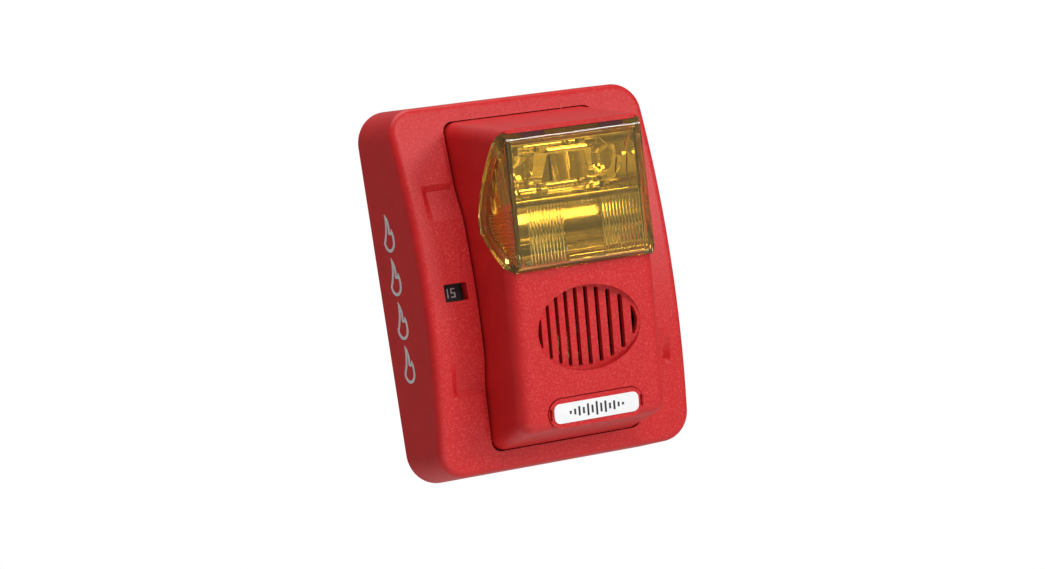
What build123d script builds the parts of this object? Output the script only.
from build123d import *

import os
from math import cos, radians, sin, sqrt, tan

# A wall-mounted audible and visual alarm: a red cover over a tall module tower that carries a horn
# grille below and an amber strobe lens above.
# Frame: X to the right seen from the front, +Y into the wall, +Z up, origin at the centre of the
# back face. "Depth" is the distance in front of the wall, so a depth d lies at y = -d.

# ---------------------------------------------------------------- driving dimensions, millimetres
COVER_WIDTH = 114.3
COVER_HEIGHT = 146.05
COVER_END_DEPTH = 24.0
COVER_CROWN = 10.0
COVER_CORNER_RADIUS = 12.8
COVER_DRAFT = 4.2
COVER_EDGE_RADIUS = 3.4
COVER_WALL = 2.2

OPENING_HALF_WIDTH = 33.3
OPENING_HALF_HEIGHT = 63.8
OPENING_CORNER_RADIUS = 4.6
OPENING_TOP_GAP = 0.6
NUB_X = 19.5
NUB_WIDTH = 1.2
NUB_LIFT = 1.4

POD_BASE_HALF_WIDTH = 33.0
POD_SIDE_SLOPE = 0.035
POD_HALF_HEIGHT = 63.4
POD_TOP_HEIGHT = 64.0
POD_KNEE_DEPTH = 26.4
POD_WALL = 2.0
POD_EDGE_RADIUS = 5.5
FRONT_DEPTH = 61.3
FRONT_TILT = 8.5

PLATE_THICKNESS = 2.5
TRAY_BACK_DEPTH = 4.0
FLANGE_DEPTH = 18.0
FLANGE_THICKNESS = 2.0
MODULE_HALF_WIDTH = 49.0
MODULE_HALF_HEIGHT = 66.0
MODULE_CORNER_RADIUS = 6.0

BOARD_DEPTH = 13.0
BOARD_THICKNESS = 1.6

GANG_SPACING = 83.3
DOUBLE_GANG_SPACING = 46.0

TRAVEL_ROOM = 0.3


def at(depth, height):
    """A point of a side profile, on Plane.YZ."""
    return (-depth, height)


def depth_plane(depth):
    """The plane parallel to the wall at this depth; its normal points away from the wall."""
    return Plane.XZ.offset(depth)


def x_plane(x):
    """The plane across X at this place; its sketch axes are Y and Z."""
    return Plane.YZ.offset(x)


def crown_depth(height, skin=0.0):
    """Depth of the cover's arched front at this height."""
    return COVER_END_DEPTH + COVER_CROWN * (1 - (2 * height / COVER_HEIGHT) ** 2) - skin


# The pod's sloping front: its sketch Y runs up the face, its normal points out of it.
front_plane = Plane(
    origin=(0, -FRONT_DEPTH, 0),
    x_dir=(1, 0, 0),
    z_dir=(0, -cos(radians(FRONT_TILT)), -sin(radians(FRONT_TILT))),
)


def on_front(height):
    """Distance up the sloping front for a height above the origin."""
    return height / cos(radians(FRONT_TILT))


def front_depth(height):
    """Depth of the sloping front at this height."""
    return FRONT_DEPTH + height * tan(radians(FRONT_TILT))


os.makedirs("parts", exist_ok=True)

# ---------------------------------------------------------------- cover
SIDE_SHRINK = tan(radians(COVER_DRAFT))


def cover_block(skin, edge_radius):
    """The cover's outer form, or its inside when skin is the wall thickness."""
    crown = COVER_END_DEPTH + COVER_CROWN - skin
    half = COVER_HEIGHT / 2
    with BuildPart() as block:
        with BuildSketch(Plane.XZ):
            RectangleRounded(COVER_WIDTH - 2 * skin, COVER_HEIGHT - 2 * skin, COVER_CORNER_RADIUS - skin)
        extrude(amount=crown + 1, taper=COVER_DRAFT)
        with BuildSketch(Plane.YZ):
            with BuildLine():
                arch = ThreePointArc(
                    at(COVER_END_DEPTH - skin, -half), at(crown, 0), at(COVER_END_DEPTH - skin, half)
                )
                Polyline(arch @ 1, at(0, half), at(0, -half), arch @ 0)
            make_face()
        extrude(amount=COVER_WIDTH, both=True, mode=Mode.INTERSECT)
        front = block.faces().sort_by(Axis.Y)[0]
        fillet(front.edges(), edge_radius)
    return block.part


# The stepped wedges beside the opening: flush at RAMP_START, deepest at STEP_FOOT.
RAMP_START = 27.0
STEP_FOOT = 38.5
STEP_TOP = 41.0
STEP_DROP = 2.0
WEDGE_OUTER_FOOT = 45.6
WEDGE_OUTER_TOP = 48.0
RIM_OUTER = 35.2
RIM_END = 59.0
CLEAR_OF_FRONT = 3.0


def wedge_profile(x, side, drop, end):
    """Section of a wedge recess at one x, a thin sliver where drop is nearly zero."""
    with BuildSketch(x_plane(x)) as section:
        with BuildLine():
            Polyline(
                at(crown_depth(RAMP_START) + CLEAR_OF_FRONT, side * RAMP_START),
                at(crown_depth(RAMP_START), side * RAMP_START),
                at(crown_depth(STEP_FOOT) - drop, side * STEP_FOOT),
                at(crown_depth(end), side * end),
                at(crown_depth(RAMP_START) + CLEAR_OF_FRONT, side * end),
                close=True,
            )
        make_face()
    return section.sketch


WINDOW_X = -41.6
WINDOW_Z = -0.8
WINDOW_WIDTH = 9.8
WINDOW_HEIGHT = 6.8
WINDOW_TUNNEL = 4.6
SNAP_LEDGE_DEPTH = 6.0
SNAP_LEDGE_HEIGHT = 2.4
SNAP_LEDGE_REACH = 2.0
SNAP_WIDTH = 12.0
SNAP_Z = 36.0

with BuildPart() as cover:
    add(cover_block(0.0, COVER_EDGE_RADIUS))
    add(cover_block(COVER_WALL, COVER_EDGE_RADIUS - COVER_WALL), mode=Mode.SUBTRACT)
    # thickening under the wedges and rim, so that the steps leave a full wall
    for x_side in (-1, 1):
        for z_side in (-1, 1):
            with BuildSketch(x_plane(x_side * OPENING_HALF_WIDTH)):
                with BuildLine():
                    Polyline(
                        at(crown_depth(RAMP_START) - 1, z_side * RAMP_START),
                        at(crown_depth(STEP_FOOT) - 1, z_side * STEP_FOOT),
                        at(crown_depth(RIM_END) - 1, z_side * RIM_END),
                        at(crown_depth(STEP_FOOT) - STEP_DROP - COVER_WALL, z_side * (STEP_FOOT + 4)),
                        at(crown_depth(STEP_FOOT) - STEP_DROP - COVER_WALL, z_side * STEP_FOOT),
                        close=True,
                    )
                make_face()
            extrude(amount=x_side * (WEDGE_OUTER_TOP - OPENING_HALF_WIDTH))
    # viewing window with its short tunnel
    with BuildSketch(depth_plane(crown_depth(WINDOW_Z) - WINDOW_TUNNEL)):
        with Locations((WINDOW_X, WINDOW_Z)):
            Rectangle(WINDOW_WIDTH + 2.4, WINDOW_HEIGHT + 2.4)
    extrude(amount=WINDOW_TUNNEL - 1)
    with BuildSketch(depth_plane(crown_depth(WINDOW_Z) - WINDOW_TUNNEL - 1)):
        with Locations((WINDOW_X, WINDOW_Z)):
            RectangleRounded(WINDOW_WIDTH, WINDOW_HEIGHT, 0.5)
    extrude(amount=WINDOW_TUNNEL + 3, mode=Mode.SUBTRACT)
    # the opening that the pod stands through
    with BuildSketch(Plane.XZ):
        with Locations((0, OPENING_TOP_GAP / 2)):
            RectangleRounded(
                2 * OPENING_HALF_WIDTH, 2 * OPENING_HALF_HEIGHT + OPENING_TOP_GAP, OPENING_CORNER_RADIUS
            )
    extrude(amount=COVER_END_DEPTH + COVER_CROWN + 1, mode=Mode.SUBTRACT)
    with BuildSketch(depth_plane(crown_depth(OPENING_HALF_HEIGHT) - COVER_WALL)):
        with Locations((-NUB_X, OPENING_HALF_HEIGHT + NUB_LIFT), (NUB_X, OPENING_HALF_HEIGHT + NUB_LIFT)):
            Rectangle(NUB_WIDTH, 2.0)
    extrude(amount=COVER_WALL - 0.2)
    for x_side in (-1, 1):
        inner = x_side * (OPENING_HALF_WIDTH - 1)
        for z_side in (-1, 1):
            full = wedge_profile(inner, z_side, STEP_DROP, STEP_TOP)
            extrude(full, amount=x_side * (WEDGE_OUTER_FOOT - OPENING_HALF_WIDTH + 1), mode=Mode.SUBTRACT)
            loft(
                [
                    wedge_profile(x_side * WEDGE_OUTER_FOOT, z_side, STEP_DROP, STEP_TOP).face(),
                    wedge_profile(x_side * WEDGE_OUTER_TOP, z_side, -0.05, STEP_TOP + 0.3).face(),
                ],
                ruled=True,
                mode=Mode.SUBTRACT,
            )
            rim = wedge_profile(inner, z_side, STEP_DROP, RIM_END)
            extrude(rim, amount=x_side * (RIM_OUTER - OPENING_HALF_WIDTH + 1), mode=Mode.SUBTRACT)
    # ledges that the back plate's hooks hold
    for x_side in (-1, 1):
        wall = COVER_WIDTH / 2 - COVER_WALL - SNAP_LEDGE_DEPTH * SIDE_SHRINK
        with BuildSketch(depth_plane(SNAP_LEDGE_DEPTH)):
            with Locations(
                (x_side * (wall + 0.5 - SNAP_LEDGE_REACH / 2), SNAP_Z),
                (x_side * (wall + 0.5 - SNAP_LEDGE_REACH / 2), -SNAP_Z),
            ):
                Rectangle(SNAP_LEDGE_REACH + 1, SNAP_WIDTH)
        extrude(amount=SNAP_LEDGE_HEIGHT)

cover.part.label = "cover"
export_step(cover.part, "parts/cover.step")

# ---------------------------------------------------------------- printed side marks
MARK_PITCH = 17.0
MARK_COUNT = 4
MARK_DEPTH = 13.0
MARK_RADIUS = 4.1
MARK_STROKE = 1.15
MARK_INK = 0.15


def side_wall_plane(side):
    """The plane on a cover side wall, seen from outside with its sketch Y up."""
    lean = radians(COVER_DRAFT)
    return Plane(
        origin=(side * COVER_WIDTH / 2, 0, 0),
        x_dir=(sin(lean), side * cos(lean), 0),
        z_dir=(side * cos(lean), -sin(lean), 0),
    )


def flame(plane, grow):
    """A plain flame: a round bowl under a leaning tip and a lower side tongue, grown by grow."""
    with BuildSketch(plane) as shape:
        with BuildLine():
            bowl = ThreePointArc((-MARK_RADIUS, -3.2), (0, -3.2 - MARK_RADIUS), (MARK_RADIUS, -3.2))
            tongue = ThreePointArc(bowl @ 1, (4.0, -1.2), (2.7, 1.6))
            notch = ThreePointArc(tongue @ 1, (2.2, 0.6), (1.4, 0.4))
            lick = ThreePointArc(notch @ 1, (1.5, 3.6), (-0.9, 7.5))
            ThreePointArc(lick @ 1, (-1.2, 3.2), bowl @ 0)
        make_face()
        if grow:
            offset(amount=grow, kind=Kind.ARC, mode=Mode.REPLACE)
    return shape.sketch


with BuildPart() as side_marks:
    for side in (-1, 1):
        for index in range(MARK_COUNT):
            height = (index - (MARK_COUNT - 1) / 2) * MARK_PITCH
            mark_plane = side_wall_plane(side) * Pos(-side * MARK_DEPTH, height)
            outline = flame(mark_plane, 0.0) - flame(mark_plane, -MARK_STROKE)
            extrude(outline.faces(), amount=MARK_INK)
side_marks.part.label = "side_marks"
export_step(side_marks.part, "parts/side_marks.step")

# ---------------------------------------------------------------- strobe outline in the side view
LENS_TOP = (67.6, 55.0)
LENS_LIP = (70.1, 51.6)
LENS_LOW = (65.7, 6.4)
LENS_FOOT = (61.8, 2.3)


def strobe_slab(grow, half_width):
    """The strobe's side outline, moved outward by grow and carried across the pod."""
    with BuildPart() as slab:
        with BuildSketch(Plane.YZ):
            with BuildLine():
                upper = ThreePointArc(at(*LENS_TOP), at(53.6, 41.9), at(44.1, 26.0))
                corner = ThreePointArc(upper @ 1, at(43.8, 21.4), at(46.0, 16.9))
                lower = ThreePointArc(corner @ 1, at(51.6, 10.4), at(*LENS_FOOT))
                chin = ThreePointArc(lower @ 1, at(64.6, 3.6), at(*LENS_LOW))
                Polyline(chin @ 1, at(*LENS_LIP), upper @ 0)
            make_face()
            if grow:
                corners = Kind.INTERSECTION if grow > 0 else Kind.ARC
                offset(amount=grow, kind=corners, mode=Mode.REPLACE)
        extrude(amount=half_width, both=True)
    return slab.part


# ---------------------------------------------------------------- pod housing
POD_TOP_FRONT = (68.6, 56.3)
POD_LOW_FRONT_HEIGHT = -57.8
SCOOP_WALL = 2.0
GRILLE_HEIGHT = -21.7
GRILLE_HALF_WIDTH = 22.6
GRILLE_HALF_HEIGHT = 16.4
GRILLE_SAG = 5.2
GRILLE_RIM_STEP = 0.4
SLOT_PITCH = 4.5
SLOT_COUNT = 10
SLOT_WIDTH = 1.7
SLOT_RING = 1.1
SLOT_TIP_RADIUS = 0.4
SLOT_THROUGH = 12.0
SCREW_X = 44.0
SCREW_Z = 60.0
SCREW_CLEARANCE = 1.7
FLAG_SLOT_HALF_WIDTH = 5.6
FLAG_SLOT_HALF_HEIGHT = 26.0
PLATE_LABEL_HEIGHT = -52.4
TUBE_HEIGHT = 32.4
LEAD_X = 21.0
LEAD_HEIGHT = TUBE_HEIGHT
BEZEL_LENGTH = 41.0
BEZEL_HEIGHT = 11.2
BEZEL_POCKET = 1.0
BEZEL_THICKNESS = 1.3


def pod_side_width(depth, grow=0.0):
    """Half-width of the pod's side walls at this depth."""
    return POD_BASE_HALF_WIDTH - (depth - FLANGE_DEPTH) * POD_SIDE_SLOPE + grow


def pod_envelope(grow, edge_radius):
    """The pod's outer form, grown or shrunk by grow, with rounded long edges."""
    low = (front_depth(POD_LOW_FRONT_HEIGHT) + grow, POD_LOW_FRONT_HEIGHT - grow / 2)
    top = (POD_TOP_FRONT[0] + grow, POD_TOP_FRONT[1] + grow)
    deep = 80.0
    with BuildPart() as envelope:
        with BuildSketch(Plane.YZ):
            with BuildLine():
                Polyline(
                    at(FLANGE_DEPTH, -POD_HALF_HEIGHT - grow),
                    at(POD_KNEE_DEPTH, -POD_HALF_HEIGHT - grow),
                    at(*low),
                    at(*top),
                    at(POD_KNEE_DEPTH, POD_TOP_HEIGHT + grow),
                    at(FLANGE_DEPTH, POD_TOP_HEIGHT + grow),
                    close=True,
                )
            make_face()
        extrude(amount=COVER_WIDTH / 2, both=True)
        with BuildSketch(Plane.XY.offset(-COVER_HEIGHT / 2)):
            with BuildLine():
                Polyline(
                    (-pod_side_width(FLANGE_DEPTH, grow), -FLANGE_DEPTH),
                    (pod_side_width(FLANGE_DEPTH, grow), -FLANGE_DEPTH),
                    (pod_side_width(deep, grow), -deep),
                    (-pod_side_width(deep, grow), -deep),
                    close=True,
                )
            make_face()
        extrude(amount=COVER_HEIGHT, mode=Mode.INTERSECT)
        outer_edges = envelope.edges().filter_by(lambda edge: edge.center().Y < -FLANGE_DEPTH - 1)
        # the knees and the front edge of the top stay sharp
        low_knee, _, top_front, top_knee = outer_edges.filter_by(Axis.X).sort_by(Axis.Z)
        sharp = [low_knee, top_front, top_knee]
        fillet([edge for edge in outer_edges if edge not in sharp], edge_radius)
    return envelope.part


grille_plane = Plane(front_plane * Pos(0, on_front(GRILLE_HEIGHT)))
DISH_RISE = GRILLE_SAG - GRILLE_RIM_STEP
DISH_RADIUS = (GRILLE_HALF_WIDTH**2 + DISH_RISE**2) / (2 * DISH_RISE)


def grille_dish(grow):
    """The grille's hollow, an ellipse whose floor curves across the pod only, grown by grow."""
    drum = Cylinder(DISH_RADIUS + grow, COVER_HEIGHT, mode=Mode.PRIVATE)
    with BuildPart(mode=Mode.PRIVATE) as hollow:
        with BuildSketch(grille_plane.offset(-DISH_RADIUS)):
            Ellipse(GRILLE_HALF_WIDTH + grow, GRILLE_HALF_HEIGHT + grow)
        extrude(amount=DISH_RADIUS + GRILLE_SAG)
    return hollow.part & (grille_plane * Pos(0, 0, DISH_RADIUS - GRILLE_SAG) * Rot(90, 0, 0) * drum)


def slot_height(x):
    """Height of the grille slot at this place, out to a ring just inside the dish's rim."""
    reach = x / (GRILLE_HALF_WIDTH - SLOT_RING)
    return 2 * (GRILLE_HALF_HEIGHT - SLOT_RING) * sqrt(1 - reach**2)


def edge_slot(side):
    """The outermost slot of one side, a crescent that follows the ring."""
    inner = (SLOT_COUNT - 1) / 2 * SLOT_PITCH - SLOT_WIDTH / 2
    with BuildSketch(mode=Mode.PRIVATE) as crescent:
        Ellipse(GRILLE_HALF_WIDTH - SLOT_RING, GRILLE_HALF_HEIGHT - SLOT_RING)
        with Locations((side * (inner + GRILLE_HALF_WIDTH), 0)):
            Rectangle(2 * GRILLE_HALF_WIDTH, 2 * GRILLE_HALF_HEIGHT, mode=Mode.INTERSECT)
        fillet(crescent.vertices(), SLOT_TIP_RADIUS)
    return crescent.sketch


with BuildPart() as pod_housing:
    add(pod_envelope(0.0, POD_EDGE_RADIUS))
    # base flange over the tray
    with BuildSketch(depth_plane(FLANGE_DEPTH)):
        RectangleRounded(2 * MODULE_HALF_WIDTH, 2 * MODULE_HALF_HEIGHT, MODULE_CORNER_RADIUS)
    extrude(amount=FLANGE_THICKNESS)
    add(pod_envelope(-POD_WALL, POD_EDGE_RADIUS - POD_WALL), mode=Mode.SUBTRACT)
    # thicker floor behind the dished grille
    add(grille_dish(POD_WALL) & pod_envelope(-POD_WALL, POD_EDGE_RADIUS - POD_WALL))
    # wall around the strobe scoop
    add(strobe_slab(TRAVEL_ROOM + SCOOP_WALL, POD_BASE_HALF_WIDTH) & pod_envelope(0.0, POD_EDGE_RADIUS))
    add(strobe_slab(TRAVEL_ROOM, COVER_WIDTH / 2), mode=Mode.SUBTRACT)
    add(grille_dish(0.0), mode=Mode.SUBTRACT)
    with BuildSketch(grille_plane.offset(1)):
        for index in range(1, SLOT_COUNT - 1):
            slot_x = (index - (SLOT_COUNT - 1) / 2) * SLOT_PITCH
            with Locations((slot_x, 0)):
                SlotOverall(slot_height(slot_x), SLOT_WIDTH, rotation=90)
        for side in (-1, 1):
            add(edge_slot(side))
    extrude(amount=-SLOT_THROUGH, mode=Mode.SUBTRACT)
    # pocket and snap slots of the nameplate
    with BuildSketch(front_plane.offset(-BEZEL_POCKET)):
        with Locations((0, on_front(PLATE_LABEL_HEIGHT))):
            SlotOverall(BEZEL_LENGTH + 0.8, BEZEL_HEIGHT + 0.8)
    extrude(amount=BEZEL_POCKET + 1, mode=Mode.SUBTRACT)
    # passages for the flash tube leads
    with BuildSketch(Plane.XZ):
        with Locations((-LEAD_X, LEAD_HEIGHT), (LEAD_X, LEAD_HEIGHT)):
            Circle(1.6)
    extrude(amount=60, mode=Mode.SUBTRACT)
    # flange holes: candela label slot and screw holes
    with BuildSketch(depth_plane(FLANGE_DEPTH - 1)):
        with Locations((WINDOW_X, WINDOW_Z)):
            Rectangle(2 * FLAG_SLOT_HALF_WIDTH, 2 * FLAG_SLOT_HALF_HEIGHT)
        with GridLocations(2 * SCREW_X, 2 * SCREW_Z, 2, 2):
            Circle(SCREW_CLEARANCE)
    extrude(amount=FLANGE_THICKNESS + 2, mode=Mode.SUBTRACT)

pod_housing.part.label = "pod_housing"
export_step(pod_housing.part, "parts/pod_housing.step")

# ---------------------------------------------------------------- strobe lens
LENS_WALL = 2.0
LENS_BACK_HALF_WIDTH = 31.8
LENS_FRONT_HALF_WIDTH = 28.8
LENS_BACK_DEPTH = 43.5
LENS_FLANGE_BAND = 3.8
LENS_FLANGE_PROUD = 0.35
LENS_FLANGE_THICKNESS = 1.6
LENS_SLOPE = (LENS_BACK_HALF_WIDTH - LENS_FRONT_HALF_WIDTH) / (LENS_LIP[0] - LENS_BACK_DEPTH)


def lens_half_width(depth, grow=0.0):
    """Half-width of the lens's side walls at this depth."""
    return LENS_BACK_HALF_WIDTH - (depth - LENS_BACK_DEPTH) * LENS_SLOPE + grow


def lens_plan(grow):
    """Plan form of the lens, narrower at the front, tall enough for the whole strobe."""
    near, far = LENS_BACK_DEPTH - 8, LENS_LIP[0] + 5
    with BuildPart() as wedge:
        with BuildSketch(Plane.XY.offset(-5)):
            with BuildLine():
                Polyline(
                    (-lens_half_width(near, grow), -near),
                    (lens_half_width(near, grow), -near),
                    (lens_half_width(far, grow), -far),
                    (-lens_half_width(far, grow), -far),
                    close=True,
                )
            make_face()
        extrude(amount=70)
    return wedge.part


lens_body = strobe_slab(0.0, POD_BASE_HALF_WIDTH) & lens_plan(0.0)
hollow = strobe_slab(-LENS_WALL, POD_BASE_HALF_WIDTH)
hollow = (hollow + Pos(0, 7, 0) * hollow + Pos(0, 14, 0) * hollow) & lens_plan(-LENS_WALL)
flange_ring = strobe_slab(0.0, POD_BASE_HALF_WIDTH) - strobe_slab(-LENS_FLANGE_BAND, POD_BASE_HALF_WIDTH)
flange_skin = pod_envelope(LENS_FLANGE_PROUD, POD_EDGE_RADIUS) - pod_envelope(
    LENS_FLANGE_PROUD - LENS_FLANGE_THICKNESS, POD_EDGE_RADIUS - 1
)

with BuildPart() as strobe_lens:
    add(lens_body)
    add(flange_ring & flange_skin)
    add(hollow, mode=Mode.SUBTRACT)
strobe_lens.part.label = "strobe_lens"
export_step(strobe_lens.part, "parts/strobe_lens.step")

# ---------------------------------------------------------------- reflector, tube and trigger wire
REFLECTOR_GAP = 0.5
REFLECTOR_SKIN = 1.2
REFLECTOR_HALF_WIDTH = 26.6
SHELF_HEIGHT = 29.4
SHELF_THICKNESS = 1.2
SHELF_FRONT_DEPTH = 61.0
FACET_HALF_WIDTH = 7.6
FACET_COUNT = 4
FACET_DEPTH = 60.5
FACET_BACK_DEPTH = 50.0
FACET_GROOVE = 0.25
FACET_BOTTOM = 36.6
FACET_HEIGHT = 9.2
TUBE_DEPTH = 61.6
TUBE_RADIUS = 2.1
TUBE_HALF_LENGTH = 12.0
CAP_LENGTH = 2.5
LEAD_RADIUS = 0.4

with BuildPart() as facet_block:
    with BuildSketch(Plane.XY.offset(FACET_BOTTOM)):
        with BuildLine():
            pitch = 2 * FACET_HALF_WIDTH / FACET_COUNT
            points = [(-FACET_HALF_WIDTH, -FACET_BACK_DEPTH)]
            for index in range(FACET_COUNT):
                left = -FACET_HALF_WIDTH + index * pitch
                points += [(left + FACET_GROOVE, -FACET_DEPTH), (left + pitch - FACET_GROOVE, -FACET_DEPTH)]
                points += [(left + pitch, -FACET_DEPTH + 0.8)] if index < FACET_COUNT - 1 else []
            points += [(FACET_HALF_WIDTH, -FACET_BACK_DEPTH)]
            Polyline(*points, close=True)
        make_face()
    extrude(amount=FACET_HEIGHT)
    add(strobe_slab(-REFLECTOR_GAP, REFLECTOR_HALF_WIDTH), mode=Mode.INTERSECT)

with BuildPart() as reflector:
    # bright shell that lines the scoop
    shell = strobe_slab(-REFLECTOR_GAP, REFLECTOR_HALF_WIDTH)
    inner = strobe_slab(-REFLECTOR_GAP - REFLECTOR_SKIN, REFLECTOR_HALF_WIDTH)
    add(shell - inner)
    with BuildSketch(Plane.YZ):
        with BuildLine():
            Polyline(at(30, 8.6), at(62, 8.6), at(64, 46.8), at(30, 46.8), close=True)
        make_face()
    extrude(amount=COVER_WIDTH / 2, both=True, mode=Mode.INTERSECT)
    add(facet_block.part)
    # shelf under the tube
    with BuildSketch(Plane.XY.offset(SHELF_HEIGHT)):
        with Locations((0, -(45.6 + SHELF_FRONT_DEPTH) / 2)):
            Rectangle(2 * REFLECTOR_HALF_WIDTH, SHELF_FRONT_DEPTH - 45.6)
    extrude(amount=-SHELF_THICKNESS)
    with BuildSketch(Plane.XZ):
        with Locations((-LEAD_X, LEAD_HEIGHT), (LEAD_X, LEAD_HEIGHT)):
            Circle(1.2)
    extrude(amount=60, mode=Mode.SUBTRACT)
reflector.part.label = "reflector"
export_step(reflector.part, "parts/reflector.step")

with BuildPart() as flash_tube:
    with BuildSketch(Plane.YZ):
        with Locations(at(TUBE_DEPTH, TUBE_HEIGHT)):
            Circle(TUBE_RADIUS)
    extrude(amount=TUBE_HALF_LENGTH, both=True)
flash_tube.part.label = "flash_tube"
export_step(flash_tube.part, "parts/flash_tube.step")

with BuildPart() as tube_caps:
    for side in (-1, 1):
        with BuildSketch(x_plane(side * TUBE_HALF_LENGTH)):
            with Locations(at(TUBE_DEPTH, TUBE_HEIGHT)):
                Circle(TUBE_RADIUS + 0.4)
        extrude(amount=side * CAP_LENGTH)
tube_caps.part.label = "tube_caps"
export_step(tube_caps.part, "parts/tube_caps.step")

CAP_END = TUBE_HALF_LENGTH + CAP_LENGTH
with BuildPart() as tube_leads:
    for side in (-1, 1):
        with BuildLine() as lead_path:
            FilletPolyline(
                (side * CAP_END, -TUBE_DEPTH, TUBE_HEIGHT),
                (side * LEAD_X, -TUBE_DEPTH, LEAD_HEIGHT),
                (side * LEAD_X, -(BOARD_DEPTH + BOARD_THICKNESS), LEAD_HEIGHT),
                radius=2.0,
            )
        with BuildSketch(Plane(origin=lead_path.line @ 0, z_dir=lead_path.line % 0)):
            Circle(LEAD_RADIUS)
        sweep(path=lead_path.line)
tube_leads.part.label = "tube_leads"
export_step(tube_leads.part, "parts/tube_leads.step")

TRIGGER_RADIUS = 0.3
TRIGGER_BEND = 2.2
TRIGGER_RING_X = 6.2
TRIGGER_RING_WIDTH = 1.2
TRIGGER_RING_WALL = 0.75
with BuildPart() as trigger_wire:
    with BuildLine() as trigger_path:
        FilletPolyline(
            (7.0, -TUBE_DEPTH - TUBE_RADIUS - 0.4, TUBE_HEIGHT),
            (16.0, -64.9, TUBE_HEIGHT + 0.6),
            (20.5, -65.0, 38.0),
            (17.5, -65.4, 43.5),
            (12.0, -66.0, 49.0),
            radius=TRIGGER_BEND,
        )
    with BuildSketch(Plane(origin=trigger_path.line @ 0, z_dir=trigger_path.line % 0)):
        Circle(TRIGGER_RADIUS)
    sweep(path=trigger_path.line)
    # clip ring round the tube
    with BuildSketch(x_plane(TRIGGER_RING_X)):
        with Locations(at(TUBE_DEPTH, TUBE_HEIGHT)):
            Circle(TUBE_RADIUS + TRIGGER_RING_WALL)
            Circle(TUBE_RADIUS, mode=Mode.SUBTRACT)
    extrude(amount=TRIGGER_RING_WIDTH)
trigger_wire.part.label = "trigger_wire"
export_step(trigger_wire.part, "parts/trigger_wire.step")

# ---------------------------------------------------------------- nameplate
LABEL_LENGTH = 36.7
LABEL_HEIGHT = 7.6
LABEL_CORNER = 2.5
LABEL_THICKNESS = 0.35

with BuildPart() as nameplate_bezel:
    with BuildSketch(front_plane.offset(-BEZEL_POCKET)):
        with Locations((0, on_front(PLATE_LABEL_HEIGHT))):
            SlotOverall(BEZEL_LENGTH, BEZEL_HEIGHT)
            with GridLocations(BEZEL_LENGTH - 1.6, 0, 2, 1):
                Rectangle(1.0, 4.3, mode=Mode.SUBTRACT)
    extrude(amount=BEZEL_THICKNESS)
nameplate_bezel.part.label = "nameplate_bezel"
export_step(nameplate_bezel.part, "parts/nameplate_bezel.step")

with BuildPart() as nameplate_label:
    with BuildSketch(front_plane.offset(BEZEL_THICKNESS - BEZEL_POCKET)):
        with Locations((0, on_front(PLATE_LABEL_HEIGHT))):
            RectangleRounded(LABEL_LENGTH, LABEL_HEIGHT, LABEL_CORNER)
    extrude(amount=LABEL_THICKNESS)
nameplate_label.part.label = "nameplate_label"
export_step(nameplate_label.part, "parts/nameplate_label.step")

# ---------------------------------------------------------------- horn driver
HORN_FRONT_DEPTH = 47.5
HORN_BACK_DEPTH = 33.0
HORN_OUTER_RADIUS = 19.0
HORN_WALL = 1.6
DISC_RADIUS = 17.0
DISC_DEPTH = 34.6
DISC_THICKNESS = 0.4
CERAMIC_RADIUS = 11.5
THROAT_RADIUS = 6.0
HORN_Z = -27.0

with BuildPart() as horn_chamber:
    with BuildSketch(depth_plane(HORN_BACK_DEPTH)):
        with Locations((0, HORN_Z)):
            Circle(HORN_OUTER_RADIUS)
    extrude(amount=HORN_FRONT_DEPTH - HORN_BACK_DEPTH)
    # seat for the disc, then the flaring mouth
    with BuildSketch(depth_plane(HORN_BACK_DEPTH)):
        with Locations((0, HORN_Z)):
            Circle(DISC_RADIUS + 0.2)
    extrude(amount=DISC_DEPTH + DISC_THICKNESS - HORN_BACK_DEPTH, mode=Mode.SUBTRACT)
    with BuildSketch(depth_plane(DISC_DEPTH)):
        with Locations((0, HORN_Z)):
            Circle(DISC_RADIUS - 2.0)
    extrude(amount=3.0, mode=Mode.SUBTRACT)
    with BuildSketch(depth_plane(HORN_FRONT_DEPTH + 0.1)):
        with Locations((0, HORN_Z)):
            Circle(HORN_OUTER_RADIUS - HORN_WALL)
    extrude(amount=-(HORN_FRONT_DEPTH - DISC_DEPTH - 4.6), taper=38, mode=Mode.SUBTRACT)
    with BuildSketch(depth_plane(DISC_DEPTH)):
        with Locations((0, HORN_Z)):
            Circle(THROAT_RADIUS)
    extrude(amount=8.0, mode=Mode.SUBTRACT)
horn_chamber.part.label = "horn_chamber"
export_step(horn_chamber.part, "parts/horn_chamber.step")

CERAMIC_THICKNESS = 0.3
SOUNDER_RING_WIDTH = 2.2
SOUNDER_LEAD_RADIUS = 0.6
CERAMIC_LEAD_X = 4.0
DISC_LEAD_X = 13.0

with BuildPart() as sounder_disc:
    with BuildSketch(depth_plane(DISC_DEPTH)):
        with Locations((0, HORN_Z)):
            Circle(DISC_RADIUS)
    extrude(amount=DISC_THICKNESS)
sounder_disc.part.label = "sounder_disc"
export_step(sounder_disc.part, "parts/sounder_disc.step")

with BuildPart() as sounder_ceramic:
    with BuildSketch(depth_plane(DISC_DEPTH)):
        with Locations((0, HORN_Z)):
            Circle(CERAMIC_RADIUS)
    extrude(amount=-CERAMIC_THICKNESS)
sounder_ceramic.part.label = "sounder_ceramic"
export_step(sounder_ceramic.part, "parts/sounder_ceramic.step")

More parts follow.
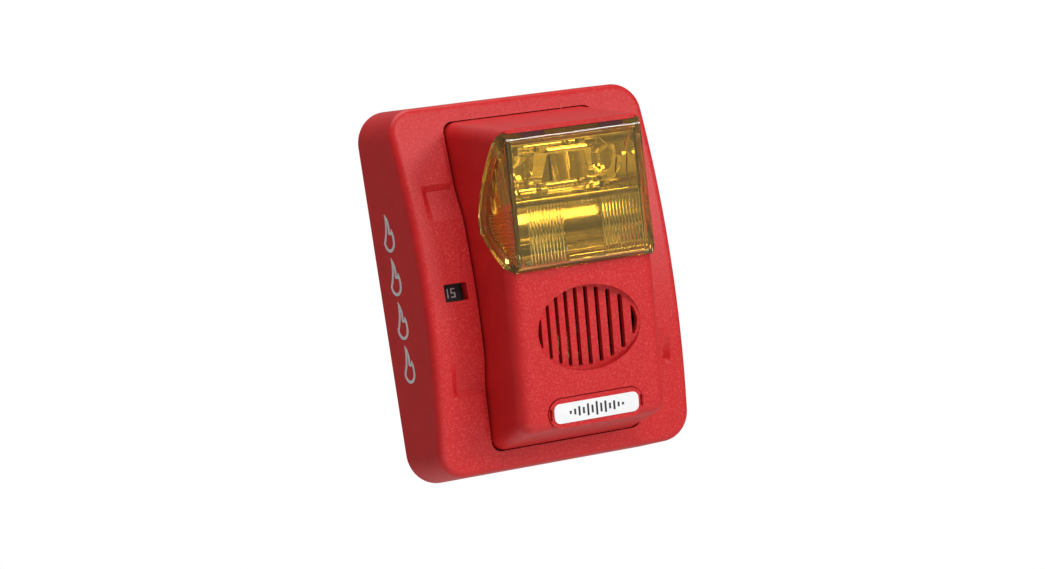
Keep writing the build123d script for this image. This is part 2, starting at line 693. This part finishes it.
with BuildPart() as sounder_ring:
    with BuildSketch(depth_plane(HORN_BACK_DEPTH)):
        with Locations((0, HORN_Z)):
            Circle(DISC_RADIUS)
            Circle(DISC_RADIUS - SOUNDER_RING_WIDTH, mode=Mode.SUBTRACT)
    extrude(amount=DISC_DEPTH - HORN_BACK_DEPTH)
sounder_ring.part.label = "sounder_ring"
export_step(sounder_ring.part, "parts/sounder_ring.step")

BOARD_FRONT = BOARD_DEPTH + BOARD_THICKNESS
with BuildPart() as sounder_leads:
    for x, start in ((CERAMIC_LEAD_X, DISC_DEPTH - CERAMIC_THICKNESS), (DISC_LEAD_X, DISC_DEPTH)):
        with BuildSketch(depth_plane(BOARD_FRONT)):
            with Locations((x, HORN_Z)):
                Circle(SOUNDER_LEAD_RADIUS)
        extrude(amount=start - BOARD_FRONT)
sounder_leads.part.label = "sounder_leads"
export_step(sounder_leads.part, "parts/sounder_leads.step")

# ---------------------------------------------------------------- mounting plate
PLATE_HALF_WIDTH = 52.0
PLATE_HALF_HEIGHT = 68.0
WIRING_WIDTH = 66.0
WIRING_HEIGHT = 56.0
PLATE_CORNER_RADIUS = 8.0
WIRING_CORNER_RADIUS = 4.0
FIXING_HOLE_RADIUS = 2.2
FIXING_SLOT_LENGTH = 9.0
BOSS_RADIUS = 3.8
BOSS_TOP_DEPTH = 7.6
BOSS_BORE_RADIUS = 1.5
BOSS_BORE_END_DEPTH = 1.0
HOOK_THICKNESS = 1.6
HOOK_LIP = 2.4
HOOK_REACH = 0.6
HOOK_SIDE_ROOM = 2.0
HOOK_DEPTH = SNAP_LEDGE_DEPTH + SNAP_LEDGE_HEIGHT + 0.3

with BuildPart() as mounting_plate:
    with BuildSketch(Plane.XZ):
        RectangleRounded(2 * PLATE_HALF_WIDTH, 2 * PLATE_HALF_HEIGHT, PLATE_CORNER_RADIUS)
        RectangleRounded(WIRING_WIDTH, WIRING_HEIGHT, WIRING_CORNER_RADIUS, mode=Mode.SUBTRACT)
        with GridLocations(0, GANG_SPACING, 1, 2):
            SlotOverall(FIXING_SLOT_LENGTH, 2 * FIXING_HOLE_RADIUS, rotation=90, mode=Mode.SUBTRACT)
        with GridLocations(DOUBLE_GANG_SPACING, GANG_SPACING, 2, 2):
            SlotOverall(FIXING_SLOT_LENGTH, 2 * FIXING_HOLE_RADIUS, mode=Mode.SUBTRACT)
    extrude(amount=PLATE_THICKNESS)
    # bosses that the module screws bite into
    with BuildSketch(depth_plane(PLATE_THICKNESS)):
        with GridLocations(2 * SCREW_X, 2 * SCREW_Z, 2, 2):
            Circle(BOSS_RADIUS)
    extrude(amount=BOSS_TOP_DEPTH - PLATE_THICKNESS)
    with BuildSketch(depth_plane(BOSS_BORE_END_DEPTH)):
        with GridLocations(2 * SCREW_X, 2 * SCREW_Z, 2, 2):
            Circle(BOSS_BORE_RADIUS)
    extrude(amount=BOSS_TOP_DEPTH, mode=Mode.SUBTRACT)
    # spring arms with hooks for the cover
    for side in (-1, 1):
        with BuildSketch(depth_plane(PLATE_THICKNESS)):
            with Locations((side * (PLATE_HALF_WIDTH - HOOK_THICKNESS / 2), 0)):
                with GridLocations(0, 2 * SNAP_Z, 1, 2):
                    Rectangle(HOOK_THICKNESS, SNAP_WIDTH - HOOK_SIDE_ROOM)
        extrude(amount=HOOK_DEPTH + HOOK_LIP - PLATE_THICKNESS)
        with BuildSketch(depth_plane(HOOK_DEPTH)):
            with Locations((side * (PLATE_HALF_WIDTH + HOOK_REACH), 0)):
                with GridLocations(0, 2 * SNAP_Z, 1, 2):
                    Rectangle(HOOK_LIP, SNAP_WIDTH - HOOK_SIDE_ROOM)
        extrude(amount=HOOK_LIP)
mounting_plate.part.label = "mounting_plate"
export_step(mounting_plate.part, "parts/mounting_plate.step")

# ---------------------------------------------------------------- rear tray
TRAY_FLOOR = 2.0
TRAY_WALL = 2.0
TRAY_COLUMN_RADIUS = 4.6
STANDOFF_X = 38.0
STANDOFF_Z = 54.0
STANDOFF_RADIUS = 3.0
STANDOFF_BORE_RADIUS = 1.1
BOSS_SIDE_ROOM = 0.1
BOSS_END_ROOM = 0.4
SWITCH_WINDOW = (12.0, 6.0)
TERMINAL_Z = -16.0
TERMINAL_LENGTH = 34.0
TERMINAL_WIDTH = 11.0
WIRE_ROOM = 8.0
SWITCH_Z = 14.0
TONE_X = -14.0
VOLUME_X = 14.0

with BuildPart() as rear_tray:
    with BuildSketch(depth_plane(TRAY_BACK_DEPTH)):
        RectangleRounded(2 * MODULE_HALF_WIDTH, 2 * MODULE_HALF_HEIGHT, MODULE_CORNER_RADIUS)
    extrude(amount=FLANGE_DEPTH - TRAY_BACK_DEPTH)
    with BuildSketch(depth_plane(TRAY_BACK_DEPTH + TRAY_FLOOR)):
        RectangleRounded(
            2 * (MODULE_HALF_WIDTH - TRAY_WALL),
            2 * (MODULE_HALF_HEIGHT - TRAY_WALL),
            MODULE_CORNER_RADIUS - TRAY_WALL,
        )
    extrude(amount=FLANGE_DEPTH, mode=Mode.SUBTRACT)
    # screw columns at the corners and board standoffs
    with BuildSketch(depth_plane(TRAY_BACK_DEPTH)):
        with GridLocations(2 * SCREW_X, 2 * SCREW_Z, 2, 2):
            Circle(TRAY_COLUMN_RADIUS)
    extrude(amount=FLANGE_DEPTH - TRAY_BACK_DEPTH)
    with BuildSketch(depth_plane(TRAY_BACK_DEPTH)):
        with GridLocations(2 * STANDOFF_X, 2 * STANDOFF_Z, 2, 2):
            Circle(STANDOFF_RADIUS)
    extrude(amount=BOARD_DEPTH - TRAY_BACK_DEPTH)
    with BuildSketch(depth_plane(TRAY_BACK_DEPTH + 1)):
        with GridLocations(2 * STANDOFF_X, 2 * STANDOFF_Z, 2, 2):
            Circle(STANDOFF_BORE_RADIUS)
    extrude(amount=BOARD_DEPTH, mode=Mode.SUBTRACT)
    # clearance for the plate's bosses, and the screws' way through
    with BuildSketch(depth_plane(TRAY_BACK_DEPTH - 1)):
        with GridLocations(2 * SCREW_X, 2 * SCREW_Z, 2, 2):
            Circle(BOSS_RADIUS + BOSS_SIDE_ROOM)
    extrude(amount=BOSS_TOP_DEPTH + BOSS_END_ROOM - TRAY_BACK_DEPTH + 1, mode=Mode.SUBTRACT)
    with BuildSketch(depth_plane(TRAY_BACK_DEPTH)):
        with GridLocations(2 * SCREW_X, 2 * SCREW_Z, 2, 2):
            Circle(SCREW_CLEARANCE)
    extrude(amount=FLANGE_DEPTH, mode=Mode.SUBTRACT)
    # windows for the terminals and the two slide switches
    with BuildSketch(depth_plane(TRAY_BACK_DEPTH - 1)):
        with Locations((0, TERMINAL_Z - WIRE_ROOM / 2)):
            Rectangle(TERMINAL_LENGTH + 1, TERMINAL_WIDTH + 1 + WIRE_ROOM)
        with Locations((TONE_X, SWITCH_Z), (VOLUME_X, SWITCH_Z)):
            Rectangle(*SWITCH_WINDOW)
    extrude(amount=TRAY_FLOOR + 2, mode=Mode.SUBTRACT)
rear_tray.part.label = "rear_tray"
export_step(rear_tray.part, "parts/rear_tray.step")

# ---------------------------------------------------------------- screws
SCREW_RADIUS = 1.45
SCREW_HEAD_RADIUS = 2.8
SCREW_HEAD_HEIGHT = 2.0
DRIVE_WIDTH = 0.8
DRIVE_DEPTH = 0.9
DRIVE_SPAN = 1.2
HEAD_ROUNDING = 0.4
MODULE_SCREW_TIP_DEPTH = 1.4
BOARD_SCREW_TIP_DEPTH = 6.0
BOARD_SCREW_RADIUS = 1.05
BOARD_SCREW_HEAD_RADIUS = 2.2
BOARD_SCREW_HEAD_HEIGHT = 1.6


def cross_screw(head_seat, tip, radius, head_radius, head_height):
    """A pan-head screw standing along the wall's normal, head to the front, with a cross drive."""
    with BuildPart() as screw:
        with BuildSketch(depth_plane(tip)):
            Circle(radius)
        extrude(amount=head_seat - tip)
        with BuildSketch(depth_plane(head_seat)):
            Circle(head_radius)
        extrude(amount=head_height)
        fillet(screw.faces().sort_by(Axis.Y)[0].edges(), head_height * HEAD_ROUNDING)
        with BuildSketch(depth_plane(head_seat + head_height - DRIVE_DEPTH)):
            Rectangle(head_radius * DRIVE_SPAN, DRIVE_WIDTH)
            Rectangle(DRIVE_WIDTH, head_radius * DRIVE_SPAN)
        extrude(amount=DRIVE_DEPTH + 0.1, mode=Mode.SUBTRACT)
    return screw.part


module_screw = cross_screw(
    FLANGE_DEPTH + FLANGE_THICKNESS,
    MODULE_SCREW_TIP_DEPTH,
    SCREW_RADIUS,
    SCREW_HEAD_RADIUS,
    SCREW_HEAD_HEIGHT,
)
with BuildPart() as module_screws:
    for x in (-SCREW_X, SCREW_X):
        for z in (-SCREW_Z, SCREW_Z):
            add(module_screw.moved(Pos(x, 0, z)))
module_screws.part.label = "module_screws"
export_step(module_screws.part, "parts/module_screws.step")

board_screw = cross_screw(
    BOARD_FRONT,
    BOARD_SCREW_TIP_DEPTH,
    BOARD_SCREW_RADIUS,
    BOARD_SCREW_HEAD_RADIUS,
    BOARD_SCREW_HEAD_HEIGHT,
)
with BuildPart() as board_screws:
    for x in (-STANDOFF_X, STANDOFF_X):
        for z in (-STANDOFF_Z, STANDOFF_Z):
            add(board_screw.moved(Pos(x, 0, z)))
board_screws.part.label = "board_screws"
export_step(board_screws.part, "parts/board_screws.step")

# ---------------------------------------------------------------- circuit board and its components
BOARD_HALF_WIDTH = 45.0
BOARD_HALF_HEIGHT = 58.0
COLUMN_ROOM = 1.5
BOARD_HOLE_RADIUS = 1.2

with BuildPart() as circuit_board:
    with BuildSketch(depth_plane(BOARD_DEPTH)):
        Rectangle(2 * BOARD_HALF_WIDTH, 2 * BOARD_HALF_HEIGHT)
        with GridLocations(2 * SCREW_X, 2 * SCREW_Z, 2, 2):
            Circle(TRAY_COLUMN_RADIUS + COLUMN_ROOM, mode=Mode.SUBTRACT)
        with GridLocations(2 * STANDOFF_X, 2 * STANDOFF_Z, 2, 2):
            Circle(BOARD_HOLE_RADIUS, mode=Mode.SUBTRACT)
    extrude(amount=BOARD_THICKNESS)
circuit_board.part.label = "circuit_board"
export_step(circuit_board.part, "parts/circuit_board.step")

FLASH_CAP_RADIUS = 8.0
FLASH_CAP_LENGTH = 32.0
FLASH_CAP_Z = 46.0
FLASH_CAP_START_X = -20.0
FLASH_CAP_ROUNDING = 1.0
with BuildPart() as flash_capacitor:
    with BuildSketch(x_plane(FLASH_CAP_START_X)):
        with Locations(at(BOARD_FRONT + FLASH_CAP_RADIUS, FLASH_CAP_Z)):
            Circle(FLASH_CAP_RADIUS)
    extrude(amount=FLASH_CAP_LENGTH)
    fillet(flash_capacitor.faces().filter_by(Axis.X).edges(), FLASH_CAP_ROUNDING)
flash_capacitor.part.label = "flash_capacitor"
export_step(flash_capacitor.part, "parts/flash_capacitor.step")

INDUCTOR_PLACE = (-14.0, 24.0)
INDUCTOR_SIZE = 14.0
INDUCTOR_HEIGHT = 10.0
CORE_RADIUS = 5.04
CORE_HEIGHT = 9.0
with BuildPart() as boost_inductor:
    with BuildSketch(depth_plane(BOARD_FRONT)):
        with Locations(INDUCTOR_PLACE):
            Rectangle(INDUCTOR_SIZE, INDUCTOR_SIZE)
            Circle(CORE_RADIUS, mode=Mode.SUBTRACT)
    extrude(amount=INDUCTOR_HEIGHT)
    with BuildSketch(depth_plane(BOARD_FRONT)):
        with Locations(INDUCTOR_PLACE):
            Circle(CORE_RADIUS)
    extrude(amount=CORE_HEIGHT)
boost_inductor.part.label = "boost_inductor"
export_step(boost_inductor.part, "parts/boost_inductor.step")

TRANSFORMER_PLACE = (14.0, 24.0)
TRANSFORMER_WIDTH = 8.0
TRANSFORMER_LENGTH = 11.0
TRANSFORMER_HEIGHT = 12.0
TRANSFORMER_CORNER = 1.0
with BuildPart() as trigger_transformer:
    with BuildSketch(depth_plane(BOARD_FRONT)):
        with Locations(TRANSFORMER_PLACE):
            RectangleRounded(TRANSFORMER_WIDTH, TRANSFORMER_LENGTH, TRANSFORMER_CORNER)
    extrude(amount=TRANSFORMER_HEIGHT)
trigger_transformer.part.label = "trigger_transformer"
export_step(trigger_transformer.part, "parts/trigger_transformer.step")

FILTER_CAP_PLACES = ((26, -50), (-26, -50), (26, 10))
FILTER_CAP_RADIUS = 4.0
FILTER_CAP_HEIGHT = 11.0
with BuildPart() as filter_capacitors:
    with BuildSketch(depth_plane(BOARD_FRONT)):
        with Locations(*FILTER_CAP_PLACES):
            Circle(FILTER_CAP_RADIUS)
    extrude(amount=FILTER_CAP_HEIGHT)
filter_capacitors.part.label = "filter_capacitors"
export_step(filter_capacitors.part, "parts/filter_capacitors.step")

# an upright three-legged package with a tab at its back
TRANSISTOR_X = 2.0
TRANSISTOR_Z = 6.0
TRANSISTOR_WIDTH = 10.0
TRANSISTOR_THICKNESS = 4.6
TRANSISTOR_HEIGHT = 9.0
LEG_PITCH = 2.54
LEG_WIDTH = 0.8
LEG_THICKNESS = 0.6
LEG_LENGTH = 2.0
TAB_THICKNESS = 1.2
TAB_HEIGHT = 4.0
with BuildPart() as power_transistor:
    with BuildSketch(depth_plane(BOARD_FRONT + LEG_LENGTH)):
        with Locations((TRANSISTOR_X, TRANSISTOR_Z)):
            Rectangle(TRANSISTOR_WIDTH, TRANSISTOR_THICKNESS)
    extrude(amount=TRANSISTOR_HEIGHT)
    with BuildSketch(depth_plane(BOARD_FRONT)):
        with Locations((TRANSISTOR_X, TRANSISTOR_Z)):
            with GridLocations(LEG_PITCH, 0, 3, 1):
                Rectangle(LEG_WIDTH, LEG_THICKNESS)
    extrude(amount=LEG_LENGTH)
    with BuildSketch(depth_plane(BOARD_FRONT + LEG_LENGTH + TRANSISTOR_HEIGHT)):
        with Locations((TRANSISTOR_X, TRANSISTOR_Z + (TRANSISTOR_THICKNESS - TAB_THICKNESS) / 2)):
            Rectangle(TRANSISTOR_WIDTH, TAB_THICKNESS)
    extrude(amount=TAB_HEIGHT)
power_transistor.part.label = "power_transistor"
export_step(power_transistor.part, "parts/power_transistor.step")

CONTROLLER_PLACE = (-14.0, 2.0)
CONTROLLER_SIZE = (10.0, 7.5)
DRIVER_PLACE = (-30.0, -40.0)
DRIVER_SIZE = (5.0, 6.2)
CHIP_HEIGHT = 1.9
with BuildPart() as controller_chips:
    with BuildSketch(depth_plane(BOARD_FRONT)):
        with Locations(CONTROLLER_PLACE):
            Rectangle(*CONTROLLER_SIZE)
        with Locations(DRIVER_PLACE):
            Rectangle(*DRIVER_SIZE)
    extrude(amount=CHIP_HEIGHT)
controller_chips.part.label = "controller_chips"
export_step(controller_chips.part, "parts/controller_chips.step")

DIODE_X = 34.0
DIODE_HEIGHTS = (30.0, 36.0, 42.0)
DIODE_RADIUS = 1.3
DIODE_LENGTH = 4.8
with BuildPart() as diodes:
    for height in DIODE_HEIGHTS:
        with BuildSketch(x_plane(DIODE_X - DIODE_LENGTH / 2)):
            with Locations(at(BOARD_FRONT + DIODE_RADIUS, height)):
                Circle(DIODE_RADIUS)
        extrude(amount=DIODE_LENGTH)
diodes.part.label = "diodes"
export_step(diodes.part, "parts/diodes.step")

RESISTOR_PLACES = ((-6, -54), (0, -54), (6, -54), (12, -54), (36, -10), (36, -16), (36, -22))
RESISTOR_SIZE = (3.2, 1.6)
RESISTOR_HEIGHT = 0.7
with BuildPart() as resistors:
    with BuildSketch(depth_plane(BOARD_FRONT)):
        with Locations(*RESISTOR_PLACES):
            Rectangle(*RESISTOR_SIZE)
    extrude(amount=RESISTOR_HEIGHT)
resistors.part.label = "resistors"
export_step(resistors.part, "parts/resistors.step")

# ---------------------------------------------------------------- candela selector
# Its label strip slides up and down behind the viewing window, one number per step.
FLAG_STEP = 6.0
FLAG_NUMBERS = ("15", "30", "75", "110")
FLAG_TRAVEL = FLAG_STEP * (len(FLAG_NUMBERS) - 1)
FLAG_FRONT_DEPTH = 28.7
FLAG_THICKNESS = 1.2
FLAG_WIDTH = 10.2
FLAG_MARGIN = 4.0
FLAG_TOP = WINDOW_Z + FLAG_MARGIN
FLAG_BOTTOM = WINDOW_Z - FLAG_TRAVEL - FLAG_MARGIN
STEM_WIDTH = 3.0
STEM_LENGTH = 6.0
STEM_Z = (FLAG_TOP + FLAG_BOTTOM) / 2
SELECTOR_X = -41.2
SELECTOR_BODY_LENGTH = 34.0
SELECTOR_BODY_WIDTH = 6.6
SELECTOR_BODY_HEIGHT = 5.0
SELECTOR_BODY_CORNER = 0.6
SELECTOR_FLOOR = 1.2
FLAG_CORNER = 0.8
SELECTOR_BODY_Z = STEM_Z + FLAG_TRAVEL / 2

with BuildPart() as selector_body:
    with BuildSketch(depth_plane(BOARD_FRONT)):
        with Locations((SELECTOR_X, SELECTOR_BODY_Z)):
            RectangleRounded(SELECTOR_BODY_WIDTH, SELECTOR_BODY_LENGTH, SELECTOR_BODY_CORNER)
    extrude(amount=SELECTOR_BODY_HEIGHT)
    with BuildSketch(depth_plane(BOARD_FRONT + SELECTOR_FLOOR)):
        with Locations((SELECTOR_X, SELECTOR_BODY_Z)):
            Rectangle(STEM_WIDTH + 2 * TRAVEL_ROOM, STEM_LENGTH + FLAG_TRAVEL + 2 * TRAVEL_ROOM)
    extrude(amount=SELECTOR_BODY_HEIGHT, mode=Mode.SUBTRACT)
selector_body.part.label = "selector_body"
export_step(selector_body.part, "parts/selector_body.step")

with BuildPart() as selector_slider:
    with BuildSketch(depth_plane(BOARD_FRONT + SELECTOR_FLOOR + TRAVEL_ROOM)):
        with Locations((SELECTOR_X, STEM_Z)):
            Rectangle(STEM_WIDTH, STEM_LENGTH)
    extrude(amount=FLAG_FRONT_DEPTH - FLAG_THICKNESS - BOARD_FRONT - SELECTOR_FLOOR - TRAVEL_ROOM)
    with BuildSketch(depth_plane(FLAG_FRONT_DEPTH - FLAG_THICKNESS)):
        with Locations((WINDOW_X, (FLAG_TOP + FLAG_BOTTOM) / 2)):
            RectangleRounded(FLAG_WIDTH, FLAG_TOP - FLAG_BOTTOM, FLAG_CORNER)
    extrude(amount=FLAG_THICKNESS)
selector_slider.part.label = "selector_slider"
export_step(selector_slider.part, "parts/selector_slider.step")

DIGIT_HEIGHT = 3.2
DIGIT_WIDTH = 1.5
DIGIT_STROKE = 0.42
DIGIT_GAP = 0.75
DIGIT_RAISE = 0.08
# strokes on a two by three grid of points: (column, row) pairs, row 2 at the top
DIGIT_STROKES = {
    "0": (((0, 0), (1, 0)), ((1, 0), (1, 2)), ((1, 2), (0, 2)), ((0, 2), (0, 0))),
    "1": (((0.5, 0), (0.5, 2)),),
    "3": (((0, 2), (1, 2)), ((1, 2), (1, 0)), ((1, 0), (0, 0)), ((0.2, 1), (1, 1))),
    "5": (((1, 2), (0, 2)), ((0, 2), (0, 1)), ((0, 1), (1, 1)), ((1, 1), (1, 0)), ((1, 0), (0, 0))),
    "7": (((0, 2), (1, 2)), ((1, 2), (0.4, 0))),
}


def number_sketch(text, x, z):
    """Plain stroke digits centred at a place on the label strip."""
    pitch = DIGIT_WIDTH + DIGIT_GAP
    with BuildSketch(depth_plane(FLAG_FRONT_DEPTH)) as number:
        for place, digit in enumerate(text):
            left = x + (place - (len(text) - 1) / 2) * pitch - DIGIT_WIDTH / 2
            for ends in DIGIT_STROKES[digit]:
                corners = [
                    Vector(left + column * DIGIT_WIDTH, z + (row - 1) * DIGIT_HEIGHT / 2)
                    for column, row in ends
                ]
                run = corners[1] - corners[0]
                middle = (corners[0] + corners[1]) / 2
                turn = Vector(1, 0).get_signed_angle(run)
                with Locations(Location((middle.X, middle.Y, 0), (0, 0, turn))):
                    Rectangle(run.length + DIGIT_STROKE, DIGIT_STROKE)
    return number.sketch


with BuildPart() as selector_numbers:
    for step, text in enumerate(FLAG_NUMBERS):
        extrude(number_sketch(text, WINDOW_X, WINDOW_Z - step * FLAG_STEP), amount=DIGIT_RAISE)
selector_numbers.part.label = "selector_numbers"
export_step(selector_numbers.part, "parts/selector_numbers.step")

# ---------------------------------------------------------------- tone and volume switches
SWITCH_LENGTH = 11.0
SWITCH_WIDTH = 5.0
SWITCH_BACK_DEPTH = 8.0
KNOB_LENGTH = 2.6
KNOB_WIDTH = 2.0
KNOB_BACK_DEPTH = 5.2
KNOB_SLOT_DEPTH = 3.0
TONE_TRAVEL = 4.0
VOLUME_TRAVEL = 2.5


def switch_body(x, travel):
    """A slide switch body hanging behind the board, with a slot for its knob."""
    with BuildPart() as body:
        with BuildSketch(depth_plane(SWITCH_BACK_DEPTH)):
            with Locations((x, SWITCH_Z)):
                Rectangle(SWITCH_LENGTH, SWITCH_WIDTH)
        extrude(amount=BOARD_DEPTH - SWITCH_BACK_DEPTH)
        with BuildSketch(depth_plane(SWITCH_BACK_DEPTH)):
            with Locations((x, SWITCH_Z)):
                Rectangle(KNOB_LENGTH + travel + 2 * TRAVEL_ROOM, KNOB_WIDTH + 2 * TRAVEL_ROOM)
        extrude(amount=KNOB_SLOT_DEPTH, mode=Mode.SUBTRACT)
    return body.part


def switch_knob(x, travel):
    """The knob, at the low-X end of its travel."""
    with BuildPart() as knob:
        with BuildSketch(depth_plane(KNOB_BACK_DEPTH)):
            with Locations((x - travel / 2, SWITCH_Z)):
                Rectangle(KNOB_LENGTH, KNOB_WIDTH)
        extrude(amount=SWITCH_BACK_DEPTH + KNOB_SLOT_DEPTH - TRAVEL_ROOM - KNOB_BACK_DEPTH)
    return knob.part


with BuildPart() as tone_switch:
    add(switch_body(TONE_X, TONE_TRAVEL))
tone_switch.part.label = "tone_switch"
export_step(tone_switch.part, "parts/tone_switch.step")

with BuildPart() as tone_knob:
    add(switch_knob(TONE_X, TONE_TRAVEL))
tone_knob.part.label = "tone_knob"
export_step(tone_knob.part, "parts/tone_knob.step")

with BuildPart() as volume_switch:
    add(switch_body(VOLUME_X, VOLUME_TRAVEL))
volume_switch.part.label = "volume_switch"
export_step(volume_switch.part, "parts/volume_switch.step")

with BuildPart() as volume_knob:
    add(switch_knob(VOLUME_X, VOLUME_TRAVEL))
volume_knob.part.label = "volume_knob"
export_step(volume_knob.part, "parts/volume_knob.step")

# ---------------------------------------------------------------- terminal block
# Each screw turns in place and raises the clamp plate below it.
TERMINAL_COUNT = 4
TERMINAL_PITCH = 8.0
TERMINAL_BACK_DEPTH = 4.2
TERMINAL_BORE_RADIUS = 2.5
TERMINAL_SCREW_RADIUS = 1.45
TERMINAL_HEAD_RADIUS = 2.2
TERMINAL_HEAD_HEIGHT = 1.6
TERMINAL_HEAD_RECESS = 0.4
TERMINAL_HEAD_ROOM = 0.7
TERMINAL_END_ROOM = 1.2
TERMINAL_FLOOR = 0.8
DRIVER_SLOT_WIDTH = 0.7
DRIVER_SLOT_DEPTH = 0.8
TURNING_ROOM = 0.05
CLAMP_SIZE = 5.0
CLAMP_THICKNESS = 1.0
CLAMP_OPEN_DEPTH = 10.6
CHAMBER_SIZE = CLAMP_SIZE + 2 * TRAVEL_ROOM
CHAMBER_TOP_DEPTH = 7.6
WIRE_MOUTH = 6.0
HEAD_SEAT_DEPTH = TERMINAL_BACK_DEPTH + TERMINAL_HEAD_RECESS
terminal_places = [(index - (TERMINAL_COUNT - 1) / 2) * TERMINAL_PITCH for index in range(TERMINAL_COUNT)]

with BuildPart() as terminal_body:
    with BuildSketch(depth_plane(TERMINAL_BACK_DEPTH)):
        with Locations((0, TERMINAL_Z)):
            Rectangle(TERMINAL_LENGTH, TERMINAL_WIDTH)
    extrude(amount=BOARD_DEPTH - TERMINAL_BACK_DEPTH)
    # wells for the screw heads
    with BuildSketch(depth_plane(TERMINAL_BACK_DEPTH - 0.1)):
        with Locations(*[(x, TERMINAL_Z) for x in terminal_places]):
            Circle(TERMINAL_BORE_RADIUS)
    extrude(amount=TERMINAL_HEAD_HEIGHT + TERMINAL_HEAD_ROOM, mode=Mode.SUBTRACT)
    with BuildSketch(depth_plane(TERMINAL_BACK_DEPTH)):
        with Locations(*[(x, TERMINAL_Z) for x in terminal_places]):
            Circle(TERMINAL_SCREW_RADIUS + TURNING_ROOM)
    extrude(amount=CHAMBER_TOP_DEPTH - TERMINAL_BACK_DEPTH, mode=Mode.SUBTRACT)
    # chambers for the clamps, open downward for the wires
    with BuildSketch(depth_plane(CHAMBER_TOP_DEPTH)):
        with Locations(*[(x, TERMINAL_Z - WIRE_MOUTH / 2) for x in terminal_places]):
            Rectangle(CHAMBER_SIZE, CHAMBER_SIZE + WIRE_MOUTH)
    extrude(amount=BOARD_DEPTH - TERMINAL_FLOOR - CHAMBER_TOP_DEPTH, mode=Mode.SUBTRACT)
terminal_body.part.label = "terminal_body"
export_step(terminal_body.part, "parts/terminal_body.step")

for index, x in enumerate(terminal_places):
    name = f"terminal_screw_{index + 1}"
    with BuildPart() as terminal_screw:
        with BuildSketch(depth_plane(HEAD_SEAT_DEPTH)):
            with Locations((x, TERMINAL_Z)):
                Circle(TERMINAL_HEAD_RADIUS)
        extrude(amount=TERMINAL_HEAD_HEIGHT)
        with BuildSketch(depth_plane(HEAD_SEAT_DEPTH)):
            with Locations((x, TERMINAL_Z)):
                Rectangle(2 * TERMINAL_HEAD_RADIUS + 1, DRIVER_SLOT_WIDTH)
        extrude(amount=DRIVER_SLOT_DEPTH, mode=Mode.SUBTRACT)
        with BuildSketch(depth_plane(HEAD_SEAT_DEPTH + TERMINAL_HEAD_HEIGHT)):
            with Locations((x, TERMINAL_Z)):
                Circle(TERMINAL_SCREW_RADIUS)
        extrude(amount=BOARD_DEPTH - TERMINAL_END_ROOM - HEAD_SEAT_DEPTH - TERMINAL_HEAD_HEIGHT)
    terminal_screw.part.label = name
    export_step(terminal_screw.part, f"parts/{name}.step")

    name = f"wire_clamp_{index + 1}"
    with BuildPart() as wire_clamp:
        with BuildSketch(depth_plane(CLAMP_OPEN_DEPTH)):
            with Locations((x, TERMINAL_Z)):
                Rectangle(CLAMP_SIZE, CLAMP_SIZE)
                Circle(TERMINAL_SCREW_RADIUS + TURNING_ROOM, mode=Mode.SUBTRACT)
        extrude(amount=CLAMP_THICKNESS)
    wire_clamp.part.label = name
    export_step(wire_clamp.part, f"parts/{name}.step")
